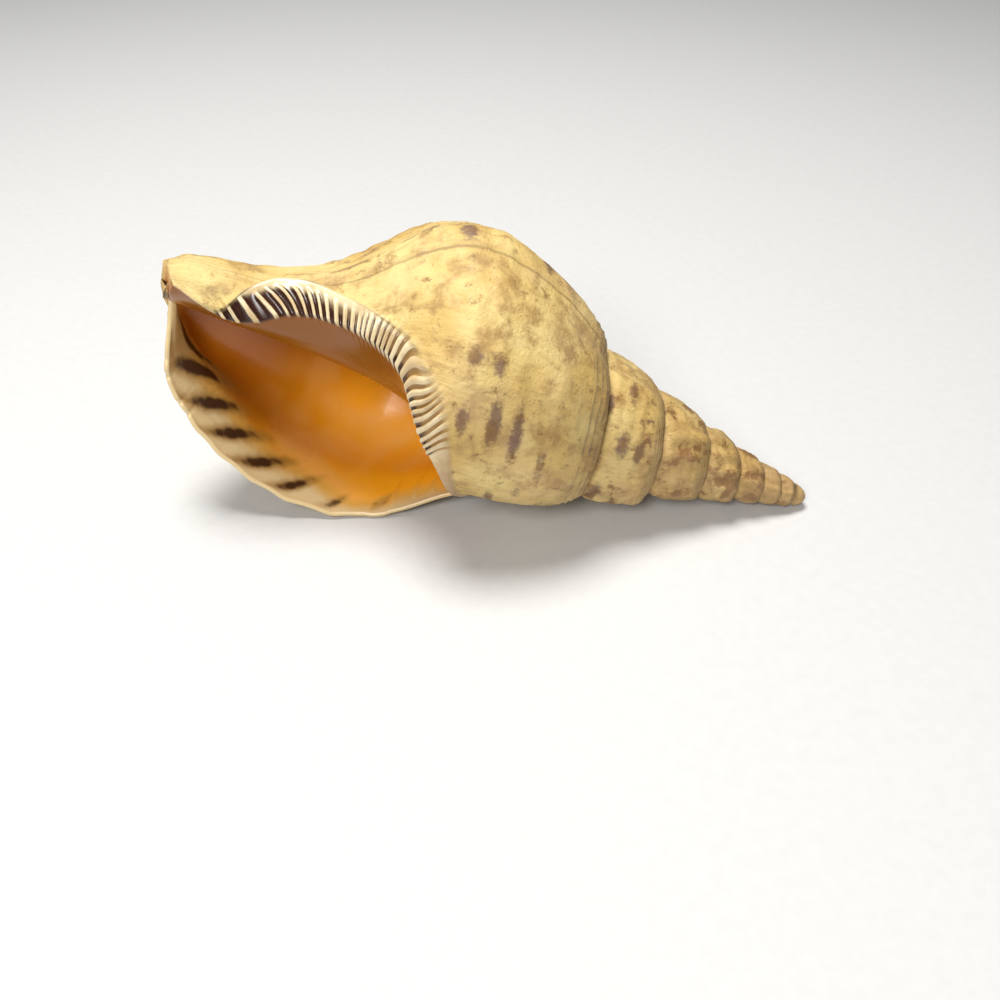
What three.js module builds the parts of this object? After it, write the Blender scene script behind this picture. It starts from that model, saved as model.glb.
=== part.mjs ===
// Triton's trumpet shell, one grown piece. Millimetres.
//
// The shell is worked out in its own cylindrical frame: "along" runs down the coiling axis from
// the apex (0) to the end of the canal, "out" is the distance from that axis, and "turn" counts
// whorls (0 at the outer lip, -1 one whorl back, and so on to the apex). Across each whorl
// "row" runs from the seam above it (0) to the seam below (1); on the last whorl it runs on
// over the base and down the canal (2).
import * as THREE from 'three';

// ---- driving dimensions ----
const APEX_TURN = -7.25;
const SEAM = { along: 116.5, out: 30.6, growAlong: 0.32, growOut: 0.36, apexLost: 8, lag: 4.3 };
const APEX = { thicker: 1.3, fromTurn: -3.5, overTurns: 3, tip: -0.5, ring: 0.6 };
const WALL = 2.6;
const RIM_ROUNDING = 0.8;
const CAVITY_DEPTH = 0.6;
const DEEP_END_ROUNDING = 0.06;
const CANAL_DEPTH = 0.2;
const LIP_BACK = { groove: 4.6, grooveTurn: -0.05, swell: 2.8, swellTurn: -0.12, width: 0.034,
  start: 0.025 };
const REST = { tilt: 19.84, roll: 16.09 };

// Whorl of the spire: row, share of the whorl's height, bulge beyond the seam in whorl heights.
const SPIRE_WHORL = [
  [0, 0, 0], [0.1, 0.05, 0.1], [0.3, 0.23, 0.19], [0.6, 0.55, 0.26], [0.85, 0.85, 0.29],
  [1, 1, 0.26],
];
const SPIRE_FLARE = SPIRE_WHORL.at(-1)[2];
// Last whorl: row, along, out at the front (under the lip), at the back, and at the lip.
// Rows left out at the front and back follow the spire's own whorl.
const FRONT = [
  [1.15, 119, 32], [1.3, 129, 28], [1.45, 139, 22.5], [1.6, 152, 16], [1.75, 172, 12],
  [1.88, 193, 10.5], [2, 204, 9],
];
const BACK = [
  [0.3, 98, 35.5], [0.6, 111, 43], [1, 128, 48.5], [1.15, 138, 48.5], [1.3, 148, 44.5],
  [1.45, 158, 36], [1.6, 170, 24], [1.75, 186, 16], [1.88, 205, 12.5], [1.96, 219, 11.3],
  [2, 225, 7.5],
];
const LIP = [
  [0.3, 119.5, 41.3], [0.6, 133.5, 52], [1, 150.5, 58.8], [1.15, 160.5, 59.5],
  [1.3, 172, 58.5], [1.45, 185, 54.6], [1.6, 197.5, 48.2], [1.75, 208.5, 39.3],
  [1.88, 217.4, 27.3], [2, 222, 4.5],
];
// Columella inside the mouth: row, along, out, under the lip.
const COLUMELLA = [
  [1, 113.5, 31], [1.15, 120, 25], [1.3, 129, 18.5], [1.45, 140, 12.5], [1.6, 154, 8.5],
  [1.75, 172, 6.5], [1.88, 194, 5.5], [2, 221, 4.5],
];
// Inner edge of the mouth: row, turn.
const INNER_EDGE = [
  [1, -1], [1.07, -0.93], [1.17, -0.84], [1.3, -0.787], [1.43, -0.714], [1.54, -0.68],
  [1.67, -0.648], [1.73, -0.643], [1.79, -0.665], [1.845, -0.73], [1.9, -0.762], [2, -0.69],
];
const VARIX = { last: -0.52, every: 0.7, height: 2.2, width: 0.028 };
const CALLUS = { wide: 14, thick: 0.9 };
const TEETH = { count: 28, firstRow: 1.2, lastRow: 1.88, height: 1.3 };

// ---- mesh fineness ----
const COLUMNS_PER_WHORL = 36;
const ROWS_TO_SEAM = 7;
const ROWS_BASE = 20;
const ROWS_TOOTHED = 90;
const TOOTHED_COLUMNS = 5;
const CAVITY_RINGS = 18;

const clamp01 = (x) => Math.min(1, Math.max(0, x));
const mix = (a, b, s) => a + (b - a) * s;
const smooth = (x) => clamp01(x) ** 2 * (3 - 2 * clamp01(x));
const bell = (x) => Math.exp(-x * x);

/** Smooth curve through table rows [x, ...]; reads the value in the given column. */
function curve(table, x, column = 1) {
  const last = table.length - 1;
  const X = (i) => table[i][0];
  const Y = (i) => table[i][column];
  let i = 0;
  while (i < last - 1 && x > X(i + 1)) i += 1;
  const slope = (k) => {
    const a = Math.max(0, k - 1);
    const b = Math.min(last, k + 1);
    return (Y(b) - Y(a)) / (X(b) - X(a));
  };
  const d = X(i + 1) - X(i);
  const s = clamp01((x - X(i)) / d);
  const start = (1 + 2 * s) * (1 - s) ** 2 * Y(i) + s * (1 - s) ** 2 * d * slope(i);
  return start + s * s * (3 - 2 * s) * Y(i + 1) + s * s * (s - 1) * d * slope(i + 1);
}

/** Seam between whorls: it lags half a turn before the lip, then drops to it. */
function seam(turn) {
  const lag = turn > -1 ? SEAM.lag * Math.sin(Math.PI * turn) ** 2 : 0;
  return {
    along: SEAM.along * Math.exp(SEAM.growAlong * turn) - SEAM.apexLost - lag,
    out: SEAM.out * Math.exp(SEAM.growOut * turn)
      + APEX.thicker * smooth((APEX.fromTurn - turn) / APEX.overTurns),
  };
}

function spireWhorl(turn, row) {
  const above = seam(turn);
  const height = seam(turn + 1).along - above.along;
  const gap = seam(turn + 1).out - above.out;
  const bulge = curve(SPIRE_WHORL, row, 2) + (gap / height - SPIRE_FLARE) * clamp01(row);
  return {
    along: above.along + height * curve(SPIRE_WHORL, row),
    out: above.out + height * bulge,
  };
}

/** A last-whorl section: its table, with the spire's own whorl above the table's first row. */
function section(table, turn, row) {
  const own = [0, 0.1, 0.3, 0.6, 1].filter((r) => r < table[0][0]);
  const full = own.map((r) => [r, spireWhorl(turn, r).along, spireWhorl(turn, r).out]);
  full.push(...table);
  return { along: curve(full, row), out: curve(full, row, 2) };
}

/** The plain outer surface, before ribs, callus and teeth. */
function plainSheet(turn, row) {
  if (turn <= -1) return spireWhorl(turn, row);
  const s = turn + 1;
  const weights = [(2 * s - 1) * (s - 1), 4 * s * (1 - s), s * (2 * s - 1)];
  const parts = [section(FRONT, -1, row), section(BACK, -0.5, row), section(LIP, 0, row)];
  const groove = LIP_BACK.groove * bell((turn - LIP_BACK.grooveTurn) / LIP_BACK.width);
  const swell = LIP_BACK.swell * bell((turn - LIP_BACK.swellTurn) / LIP_BACK.width);
  const backing = (swell - groove) * smooth(-turn / LIP_BACK.start) * smooth(row * 2);
  return {
    along: weights.reduce((sum, w, i) => sum + w * parts[i].along, 0),
    out: weights.reduce((sum, w, i) => sum + w * parts[i].out, 0) + backing,
  };
}

/** Point of the plain sheet moved out along the section's normal. */
function raised(turn, row, by) {
  const p = plainSheet(turn, row);
  const a = plainSheet(turn, Math.max(0, row - 0.02));
  const b = plainSheet(turn, Math.min(turn <= -1 ? 1 : 2, row + 0.02));
  const length = Math.hypot(b.along - a.along, b.out - a.out);
  return {
    along: p.along - (by * (b.out - a.out)) / length,
    out: p.out + (by * (b.along - a.along)) / length,
  };
}

const edgeTurn = (row) => (row <= 1 ? -1 : curve(INNER_EDGE, row));

function varix(turn, row) {
  const k = Math.round((VARIX.last - turn) / VARIX.every);
  const centre = VARIX.last - Math.max(0, k) * VARIX.every;
  const size = Math.exp(SEAM.growAlong * turn) * smooth(row * 5) * smooth((2 - row) * 2);
  return VARIX.height * size * bell((turn - centre) / VARIX.width);
}

/** Callus and teeth, by the distance in mm from the inner edge of the mouth. */
function innerLip(distance, row) {
  const pad = CALLUS.thick * smooth((CALLUS.wide - Math.abs(distance)) / 4);
  const place = (row - TEETH.firstRow) / (TEETH.lastRow - TEETH.firstRow);
  if (place < 0 || place > 1) return pad * smooth((row - 1) * 20);
  const ridge = 0.5 - 0.5 * Math.cos(2 * Math.PI * TEETH.count * place);
  const reach = smooth(1.15 - Math.abs(distance - 3) / (CALLUS.wide - 2));
  return pad * smooth((row - 1) * 20) + TEETH.height * ridge * reach;
}

/** The outer surface at a nominal turn, sheared so that turn -1 is the mouth's inner edge. */
function outerPoint(nominal, row) {
  const shear = (edgeTurn(row) + 1) * smooth(-nominal / 0.6);
  const turn = nominal + shear;
  let lift = varix(turn, row);
  if (nominal >= -1 && row > 1) {
    const out = plainSheet(turn, row).out;
    const distance = (turn - edgeTurn(row)) * 2 * Math.PI * out;
    lift += innerLip(distance, row) * (distance < CALLUS.wide ? 1 : 0);
  }
  return { ...raised(turn, row, lift), turn };
}

const canalReach = (depth) => 1 - 0.3 * smooth((depth - CANAL_DEPTH) / 0.35);

/** Inside of the outer wall, a share of a turn behind the lip. */
function wallInside(depth, row) {
  const reached = row <= 1 ? row : 1 + (row - 1) * canalReach(depth);
  const thick = WALL * (row < 0.05 ? smooth(depth / 0.03) : 1);
  return { ...raised(-depth, reached, -thick), turn: -depth };
}

/** Columella side of the mouth, from the inner edge round into the shell. */
function columellaSide(depth, row) {
  const reached = row <= 1 ? row : 1 + (row - 1) * canalReach(depth);
  const edge = outerPoint(-1, reached);
  if (depth === 0) return edge;
  const shrink = Math.exp(-SEAM.growAlong * depth);
  const corner = wallInside(depth, 0);
  const core = { along: curve(COLUMELLA, reached), out: curve(COLUMELLA, reached, 2) };
  const near = 1 - smooth((reached - 1) / 0.3);
  const inside = smooth(depth / 0.1) ** 0.6;
  const deepAlong = mix(core.along, core.along + corner.along - COLUMELLA[0][1], near);
  const deepOut = mix(core.out * shrink, core.out + corner.out - COLUMELLA[0][2], near);
  const swing = smooth(depth / 0.3);
  return {
    along: mix(edge.along, deepAlong, inside),
    out: mix(edge.out, deepOut, inside),
    turn: mix(edge.turn, -1, swing) - depth,
  };
}

/** Collects points and triangles; the shell's own frame has x along the axis. */
class Skin {
  constructor() {
    this.points = [];
    this.triangles = [];
  }

  add({ along, out, turn }) {
    const angle = turn * 2 * Math.PI;
    this.points.push([along, out * Math.cos(angle), out * Math.sin(angle)]);
    return this.points.length - 1;
  }

  triangle(a, b, c) {
    if (a !== b && b !== c && c !== a) this.triangles.push(a, b, c);
  }

  /** Strip between two edges of any point counts, always closing the shorter diagonal. */
  strip(left, right) {
    let i = 0;
    let j = 0;
    while (i < left.length - 1 || j < right.length - 1) {
      const diagonalLeft = i < left.length - 1 ? this.gap(left[i + 1], right[j]) : Infinity;
      const diagonalRight = j < right.length - 1 ? this.gap(left[i], right[j + 1]) : Infinity;
      if (diagonalLeft <= diagonalRight) {
        this.triangle(left[i], left[i + 1], right[j]);
        i += 1;
      } else {
        this.triangle(left[i], right[j + 1], right[j]);
        j += 1;
      }
    }
  }

  /** Strip of quads between two edges with the same points along them. */
  quads(left, right) {
    for (let i = 1; i < left.length; i += 1) {
      this.triangle(left[i - 1], left[i], right[i]);
      this.triangle(left[i - 1], right[i], right[i - 1]);
    }
  }

  /** Surface through columns of points: quads where the rows are fine enough for teeth. */
  sheet(columns) {
    columns.slice(1).forEach((points, i) => {
      const toothed = points.length > ROWS_TOOTHED && columns[i].length > ROWS_TOOTHED;
      if (toothed) this.quads(points, columns[i]);
      else this.strip(points, columns[i]);
    });
  }

  gap(a, b) {
    return Math.hypot(...this.points[a].map((value, axis) => value - this.points[b][axis]));
  }

  fan(loop, centre) {
    loop.forEach((p, i) => this.triangle(p, loop[(i + 1) % loop.length], centre));
  }
}

const steps = (count, from, to) =>
  Array.from({ length: count + 1 }, (_, i) => from + ((to - from) * i) / count);
const baseRows = (toothed) =>
  (toothed ? steps(ROWS_TOOTHED, 1, 2) : steps(ROWS_BASE, 0, 1).map((s) => 1 + s ** 1.4));

/** Outer skin: one column of points per step of turn, seams shared between whorls. */
function outerSkin(skin) {
  const columns = Math.round(-APEX_TURN * COLUMNS_PER_WHORL);
  const upper = [];
  const lower = [];
  for (let i = 0; i <= columns; i += 1) {
    const turn = (i - columns) / COLUMNS_PER_WHORL;
    const above = i - COLUMNS_PER_WHORL;
    const points = steps(ROWS_TO_SEAM, 0, 1).map((row, k) =>
      (k === 0 && above >= 0 ? upper[above].at(-1) : skin.add(outerPoint(turn, row))));
    upper.push(points);
    if (turn < -1) continue;
    const toothed = lower.length < TOOTHED_COLUMNS;
    const rows = baseRows(toothed);
    lower.push([points.at(-1), ...rows.slice(1).map((row) => skin.add(outerPoint(turn, row)))]);
  }
  skin.sheet(upper);
  skin.sheet(lower);
  const top = upper.slice(0, COLUMNS_PER_WHORL + 1).map((points) => points[0]);
  apexDome(skin, [...upper[0].slice(1, -1).reverse(), ...top].reverse());
  return { upper, lower };
}

/** Blunt worn apex: a round dome over the start of the first whorl. */
function apexDome(skin, loop) {
  const rise = 1 - Math.sqrt(1 - APEX.ring ** 2);
  const ring = loop.map((p) => {
    const [along, y, z] = skin.points[p];
    skin.points.push([mix(APEX.tip, along, rise), y * APEX.ring, z * APEX.ring]);
    return skin.points.length - 1;
  });
  skin.quads([...loop, loop[0]], [...ring, ring[0]]);
  skin.fan(ring, skin.add({ along: APEX.tip, out: 0, turn: 0 }));
}

/** Mouth: rim of the lip, inside wall, columella side, canal end and the deep end. */
function mouthSkin(skin, { upper, lower }) {
  const lip = [...upper.at(-1), ...lower.at(-1).slice(1)];
  const edge = lower[0];
  const rowsIn = [...steps(ROWS_TO_SEAM, 0, 1), ...baseRows(false).slice(1)];
  const depths = steps(CAVITY_RINGS, 0, 1).map((s) => CAVITY_DEPTH * s ** 1.4);
  const walls = [];
  const cores = [];
  depths.forEach((depth, k) => {
    const wall = rowsIn.map((row, j) =>
      (k === 0 && j === 0 ? lip[0] : skin.add(wallInside(depth, row))));
    const toothed = k < TOOTHED_COLUMNS;
    const rows = baseRows(toothed);
    const core = k === 0 ? edge : rows.map((row, j) =>
      (j === 0 ? wall[0] : skin.add(columellaSide(depth, row))));
    if (depth > CANAL_DEPTH) core[core.length - 1] = wall.at(-1);
    walls.push(wall);
    cores.push(core);
  });
  const rim = lip.map((_, j) => (j === 0 ? lip[0] : skin.add(rimPoint(rowsIn[j]))));
  skin.strip(rim, lip);
  skin.strip(walls[0], rim);
  skin.sheet(walls);
  skin.sheet([...cores].reverse());
  endFace(skin, lower, walls, cores, rim);
  const ring = [...walls.at(-1), ...cores.at(-1).slice(1, -1).reverse()];
  skin.fan(ring.reverse(), skin.add(deepEnd()));
}

/** Rounded edge of the outer lip, a little ahead of the wall's middle. */
function rimPoint(row) {
  const middle = raised(0, row, -WALL / 2);
  return { ...middle, turn: RIM_ROUNDING / (2 * Math.PI * middle.out) };
}

function deepEnd() {
  const depth = CAVITY_DEPTH + DEEP_END_ROUNDING;
  const wall = wallInside(depth, 0.8);
  const core = columellaSide(depth, 1.3);
  return {
    along: (wall.along + core.along) / 2,
    out: (wall.out + core.out) / 2,
    turn: -depth,
  };
}

/** End of the canal: the face between the outer skin's last row and the open trough. */
function endFace(skin, lower, walls, cores, rim) {
  const open = walls.filter((wall, k) => wall.at(-1) !== cores[k].at(-1)).length;
  const joined = walls[open].at(-1);
  const outside = lower.map((points) => points.at(-1)).reverse();
  const trough = [
    rim.at(-1),
    ...walls.slice(0, open).map((wall) => wall.at(-1)),
    joined,
    ...cores.slice(0, open).map((core) => core.at(-1)).reverse(),
  ];
  skin.strip(trough, outside);
}

function shellGeometry() {
  const skin = new Skin();
  mouthSkin(skin, outerSkin(skin));
  const geometry = new THREE.BufferGeometry();
  geometry.setAttribute('position', new THREE.Float32BufferAttribute(skin.points.flat(), 3));
  geometry.setIndex(skin.triangles);
  geometry.computeVertexNormals();
  return geometry;
}

/** Lays the shell down: apex towards +X, mouth towards -Y, resting on lip, shoulder and apex. */
function laidDown(shell) {
  shell.rotation.x = THREE.MathUtils.degToRad(REST.roll - 90);
  const tilted = new THREE.Group();
  tilted.rotation.y = THREE.MathUtils.degToRad(-REST.tilt);
  tilted.add(shell);
  const turned = new THREE.Group();
  turned.rotation.z = Math.PI;
  turned.add(tilted);
  const box = new THREE.Box3().setFromObject(turned, true);
  const middle = box.getCenter(new THREE.Vector3());
  turned.position.set(-middle.x, -middle.y, -box.min.z);
  return turned;
}

const shell = new THREE.Mesh(
  shellGeometry(),
  new THREE.MeshStandardMaterial({ color: 0xd9b886, roughness: 0.55, metalness: 0 }),
);
shell.name = 'shell';
const part = new THREE.Group();
part.add(laidDown(shell));
export default part;
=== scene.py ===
"""Triton's trumpet shell lying on a pale floor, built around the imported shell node.

The shell is worked out in its own cylindrical frame, in millimetres: "along" runs down the
coiling axis from the apex (0) to the end of the canal, "out" is the distance from that axis, and
"turn" counts whorls (0 at the outer lip, -1 one whorl back, and so on to the apex). Across a
whorl "row" runs from the seam above it (0) to the seam below (1); on the last whorl it runs on
over the base and down the canal (2).
"""
import math

import bpy
import numpy as np
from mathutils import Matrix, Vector


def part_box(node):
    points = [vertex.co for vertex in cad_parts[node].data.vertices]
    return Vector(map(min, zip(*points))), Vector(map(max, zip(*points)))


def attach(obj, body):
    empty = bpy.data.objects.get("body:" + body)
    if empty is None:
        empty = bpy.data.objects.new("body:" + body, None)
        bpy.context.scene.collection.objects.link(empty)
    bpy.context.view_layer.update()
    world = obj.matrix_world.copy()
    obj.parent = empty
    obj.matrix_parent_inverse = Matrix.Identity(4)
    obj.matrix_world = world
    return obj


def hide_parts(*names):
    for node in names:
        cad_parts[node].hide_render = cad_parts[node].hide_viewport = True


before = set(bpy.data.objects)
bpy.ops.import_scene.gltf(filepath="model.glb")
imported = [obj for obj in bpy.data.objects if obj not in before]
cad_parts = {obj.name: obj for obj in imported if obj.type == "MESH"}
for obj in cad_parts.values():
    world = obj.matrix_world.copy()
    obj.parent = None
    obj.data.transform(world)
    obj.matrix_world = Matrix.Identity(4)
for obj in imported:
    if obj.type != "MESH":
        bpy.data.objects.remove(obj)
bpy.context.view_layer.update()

MM = 0.001

# ---- the shell's form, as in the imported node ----
APEX_TURN = -7.25
SEAM = dict(along=116.5, out=30.6, grow_along=0.32, grow_out=0.36, apex_lost=8, lag=4.3)
APEX = dict(thicker=1.3, from_turn=-3.5, over_turns=3, tip=-0.5)
WALL = 2.6
RIM_SHARE = 0.62           # thickness of the lip's edge as a share of the wall
CAVITY_DEPTH = 0.6
DEEP_END_ROUNDING = 0.06
CANAL_DEPTH = 0.2
LIP_BACK = dict(groove=4.6, groove_turn=-0.05, swell=2.8, swell_turn=-0.12, width=0.034,
                start=0.025)
REST_TILT = 19.84
REST_ROLL = 16.09

# Whorl of the spire: row, share of the whorl's height, bulge beyond the seam in whorl heights.
SPIRE_WHORL = [(0, 0, 0), (0.1, 0.05, 0.1), (0.3, 0.23, 0.19), (0.6, 0.55, 0.26),
               (0.85, 0.85, 0.29), (1, 1, 0.26)]
SPIRE_FLARE = SPIRE_WHORL[-1][2]
# Last whorl: row, along, out at the front (under the lip), at the back, and at the lip.
FRONT = [(1.15, 119, 32), (1.3, 129, 28), (1.45, 139, 22.5), (1.6, 152, 16), (1.75, 172, 12),
         (1.88, 193, 10.5), (2, 204, 9)]
BACK = [(0.3, 98, 35.5), (0.6, 111, 43), (1, 128, 48.5), (1.15, 138, 48.5), (1.3, 148, 44.5),
        (1.45, 158, 36), (1.6, 170, 24), (1.75, 186, 16), (1.88, 205, 12.5),
        (1.96, 219, 11.3), (2, 225, 7.5)]
LIP = [(0.3, 119.5, 41.3), (0.6, 133.5, 52), (1, 150.5, 58.8), (1.15, 160.5, 59.5),
       (1.3, 172, 58.5), (1.45, 185, 54.6), (1.6, 197.5, 48.2), (1.75, 208.5, 39.3),
       (1.88, 217.4, 27.3), (2, 222, 4.5)]
# Columella inside the mouth: row, along, out, under the lip.
COLUMELLA = [(1, 113.5, 31), (1.15, 120, 25), (1.3, 129, 18.5), (1.45, 140, 12.5),
             (1.6, 154, 8.5), (1.75, 172, 6.5), (1.88, 194, 5.5), (2, 221, 4.5)]
# Inner edge of the mouth: row, turn.
INNER_EDGE = [(1, -1), (1.07, -0.93), (1.17, -0.84), (1.3, -0.787), (1.43, -0.714),
              (1.54, -0.68), (1.67, -0.648), (1.73, -0.643), (1.79, -0.665), (1.845, -0.73),
              (1.9, -0.762), (2, -0.69)]


def clamp01(x):
    return np.clip(x, 0, 1)


def mix(a, b, s):
    return a + (b - a) * s


def smooth(x):
    return clamp01(x) ** 2 * (3 - 2 * clamp01(x))


def bell(x):
    return np.exp(-x * x)


def curve(table, x, column=1):
    """Smooth curve through table rows (x, ...); reads the value in the given column."""
    table = np.asarray(table, float)
    keys, values = table[:, 0], table[:, column]
    index = np.arange(len(keys))
    before, after = np.maximum(index - 1, 0), np.minimum(index + 1, len(keys) - 1)
    slope = (values[after] - values[before]) / (keys[after] - keys[before])
    i = np.clip(np.searchsorted(keys, x) - 1, 0, len(keys) - 2)
    width = keys[i + 1] - keys[i]
    s = clamp01((x - keys[i]) / width)
    start = (1 + 2 * s) * (1 - s) ** 2 * values[i] + s * (1 - s) ** 2 * width * slope[i]
    return start + s * s * (3 - 2 * s) * values[i + 1] + s * s * (s - 1) * width * slope[i + 1]


def seam(turn):
    """Along and out of the seam between whorls: it lags before the lip, then drops to it."""
    lag = np.where(turn > -1, SEAM["lag"] * np.sin(np.pi * turn) ** 2, 0)
    along = SEAM["along"] * np.exp(SEAM["grow_along"] * turn) - SEAM["apex_lost"] - lag
    thicker = APEX["thicker"] * smooth((APEX["from_turn"] - turn) / APEX["over_turns"])
    return along, SEAM["out"] * np.exp(SEAM["grow_out"] * turn) + thicker


def spire_whorl(turn, row):
    along, out = seam(turn)
    below, wide = seam(turn + 1)
    height = below - along
    bulge = curve(SPIRE_WHORL, row, 2) + ((wide - out) / height - SPIRE_FLARE) * clamp01(row)
    return along + height * curve(SPIRE_WHORL, row), out + height * bulge


def whole_section(table, turn):
    """A last-whorl section: its table, with the spire's own whorl above the table."""
    own = [r for r in (0, 0.1, 0.3, 0.6, 1) if r < table[0][0]]
    return np.array([(r, *(float(v) for v in spire_whorl(turn, r))) for r in own] + table)


SECTIONS = [whole_section(FRONT, -1), whole_section(BACK, -0.5), whole_section(LIP, 0)]


def plain_sheet(turn, row):
    """The plain outer surface, before ribs, callus and teeth."""
    spire = spire_whorl(turn, row)
    s = turn + 1
    weights = ((2 * s - 1) * (s - 1), 4 * s * (1 - s), s * (2 * s - 1))
    parts = [(curve(table, row), curve(table, row, 2)) for table in SECTIONS]
    groove = LIP_BACK["groove"] * bell((turn - LIP_BACK["groove_turn"]) / LIP_BACK["width"])
    swell = LIP_BACK["swell"] * bell((turn - LIP_BACK["swell_turn"]) / LIP_BACK["width"])
    backing = (swell - groove) * smooth(-turn / LIP_BACK["start"]) * smooth(row * 2)
    along = sum(w * part[0] for w, part in zip(weights, parts))
    out = sum(w * part[1] for w, part in zip(weights, parts)) + backing
    last = turn > -1
    return np.where(last, along, spire[0]), np.where(last, out, spire[1])


def raised(turn, row, by):
    """Point of the plain sheet moved out along the section's normal."""
    along, out = plain_sheet(turn, row)
    limit = np.where(turn <= -1, 1, 2)
    a = plain_sheet(turn, np.maximum(0, row - 0.02))
    b = plain_sheet(turn, np.minimum(limit, row + 0.02))
    length = np.hypot(b[0] - a[0], b[1] - a[1])
    return along - by * (b[1] - a[1]) / length, out + by * (b[0] - a[0]) / length


def edge_turn(row):
    return np.where(row <= 1, -1, curve(INNER_EDGE, np.maximum(row, 1)))


def canal_reach(depth):
    return 1 - 0.3 * smooth((depth - CANAL_DEPTH) / 0.35)


# ---- finer relief on the form, in millimetres ----
RIB_GROOVES = [(0.035, 0.30, 0.010), (0.075, 0.34, 0.010), (0.12, 0.34, 0.011),
               (0.17, 0.30, 0.012), (0.225, 0.28, 0.013), (0.29, 0.20, 0.015),
               (0.42, 0.30, 0.030), (0.58, 0.34, 0.034), (0.76, 0.34, 0.036),
               (0.94, 0.34, 0.034), (1.10, 0.34, 0.030), (1.23, 0.30, 0.028),
               (1.35, 0.28, 0.024), (1.46, 0.24, 0.020), (1.55, 0.22, 0.018)]
DARK_GROOVES_TO_ROW = 0.34          # only the fine grooves by the seam are darkened
VARIX = dict(last=-0.52, every=0.7, height=2.2, width=0.028)
# Callus on the inner lip: row, width from the mouth's inner edge.
CALLUS_WIDTH = [(1, 8), (1.09, 14), (1.18, 23), (1.27, 25), (1.38, 17), (1.47, 10.5),
                (1.57, 9.5), (1.65, 10), (1.75, 12), (1.82, 12.5), (1.865, 9), (1.905, 3.2),
                (1.93, 1), (2, 1)]
CALLUS_THICK = 0.9
# How softly the callus runs out onto the body: row, mm.
CALLUS_FADE = [(1, 9), (1.3, 9), (1.5, 2.5), (2, 2)]
# Teeth on the inner lip, counted from the canal: row of the crest at the mouth's edge, count.
TOOTH_COUNT = [(1.25, 31), (1.285, 29), (1.33, 27), (1.36, 25), (1.395, 23), (1.445, 21),
               (1.49, 19), (1.525, 17), (1.565, 15), (1.595, 13), (1.635, 11), (1.68, 9),
               (1.715, 7), (1.757, 5), (1.803, 3), (1.842, 2), (1.878, 1), (1.905, 0)]
# How the ridges slant: row, rows gained for each millimetre away from the mouth's edge.
TOOTH_SLANT = [(1.2, -0.005), (1.32, -0.0052), (1.4, -0.0038), (1.5, -0.0028), (1.6, -0.0012),
               (1.68, 0.0005), (1.735, 0.002), (1.8, 0.0045), (1.9, 0.0045)]
TOOTH_LENGTH = [(1.2, 26), (1.27, 25), (1.34, 20), (1.4, 18), (1.45, 14), (1.52, 10), (1.6, 7),
                (1.7, 8), (1.8, 9.5), (1.86, 8), (1.92, 5)]
TOOTH_HEIGHT = 1.1
TEETH_RUN_IN = 0.018       # how far the teeth run on inside the mouth, in turns
# Blotches inside the lip: row, mm behind the edge, half length in mm, half width in rows, depth
# of colour. Each blotch leans, and the lip has a shallow flute and a scallop for each.
LIP_BLOTCHES = [(1.872, 8, 7, 0.030, 1.1), (1.80, 7.2, 6.6, 0.030, 1.1),
                (1.69, 6.6, 5.9, 0.030, 1.1), (1.57, 6.0, 5.4, 0.030, 1.1),
                (1.425, 5.7, 5.0, 0.033, 1.1), (1.27, 5.0, 4.4, 0.036, 1.0),
                (1.055, 3.9, 3.2, 0.045, 0.75), (0.74, 4.4, 2.6, 0.040, 0.55),
                (0.665, 4.4, 2.6, 0.030, 0.5)]
BLOTCH_LEAN = 0.017
LIP_RIDGES = (0.627, 0.603, 0.478, 0.458, 0.367, 0.347)
LIP_FLUTE_HEIGHT = 0.45


def lumps(points, size, seed):
    """Smooth random relief, about -1 to 1, with bumps of the given size in millimetres."""
    rng = np.random.default_rng(seed)
    total = 0
    for _ in range(7):
        heading = rng.normal(size=points.shape[-1])
        heading *= 2 * np.pi / (size * np.linalg.norm(heading))
        total = total + np.sin(points @ heading + rng.uniform(0, 2 * np.pi))
    return total / 3


def varix(turn, row):
    """Old thickened lips left on the whorls, each with a steeper far side."""
    k = np.maximum(0, np.round((VARIX["last"] - turn) / VARIX["every"]))
    away = (turn - VARIX["last"] + k * VARIX["every"]) / VARIX["width"]
    size = np.exp(SEAM["grow_along"] * turn) * smooth(row * 5) * smooth((2 - row) * 2)
    steep = bell(away) * (1 + 0.25 * np.tanh(4 * away))
    return VARIX["height"] * size * steep - 0.35 * size * bell((away - 0.15) / 0.12)


def rib_grooves(turn, row):
    """How deep the surface lies in a groove between spiral ribs, for full-sized ribs."""
    return sum(depth * bell((row - at) / wide) for at, depth, wide in RIB_GROOVES)


def rows_in_mm(turn, row):
    along, out = plain_sheet(turn, row)
    angle = 2 * np.pi * turn
    return np.stack([along, out * np.cos(angle), out * np.sin(angle)], -1)


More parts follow.
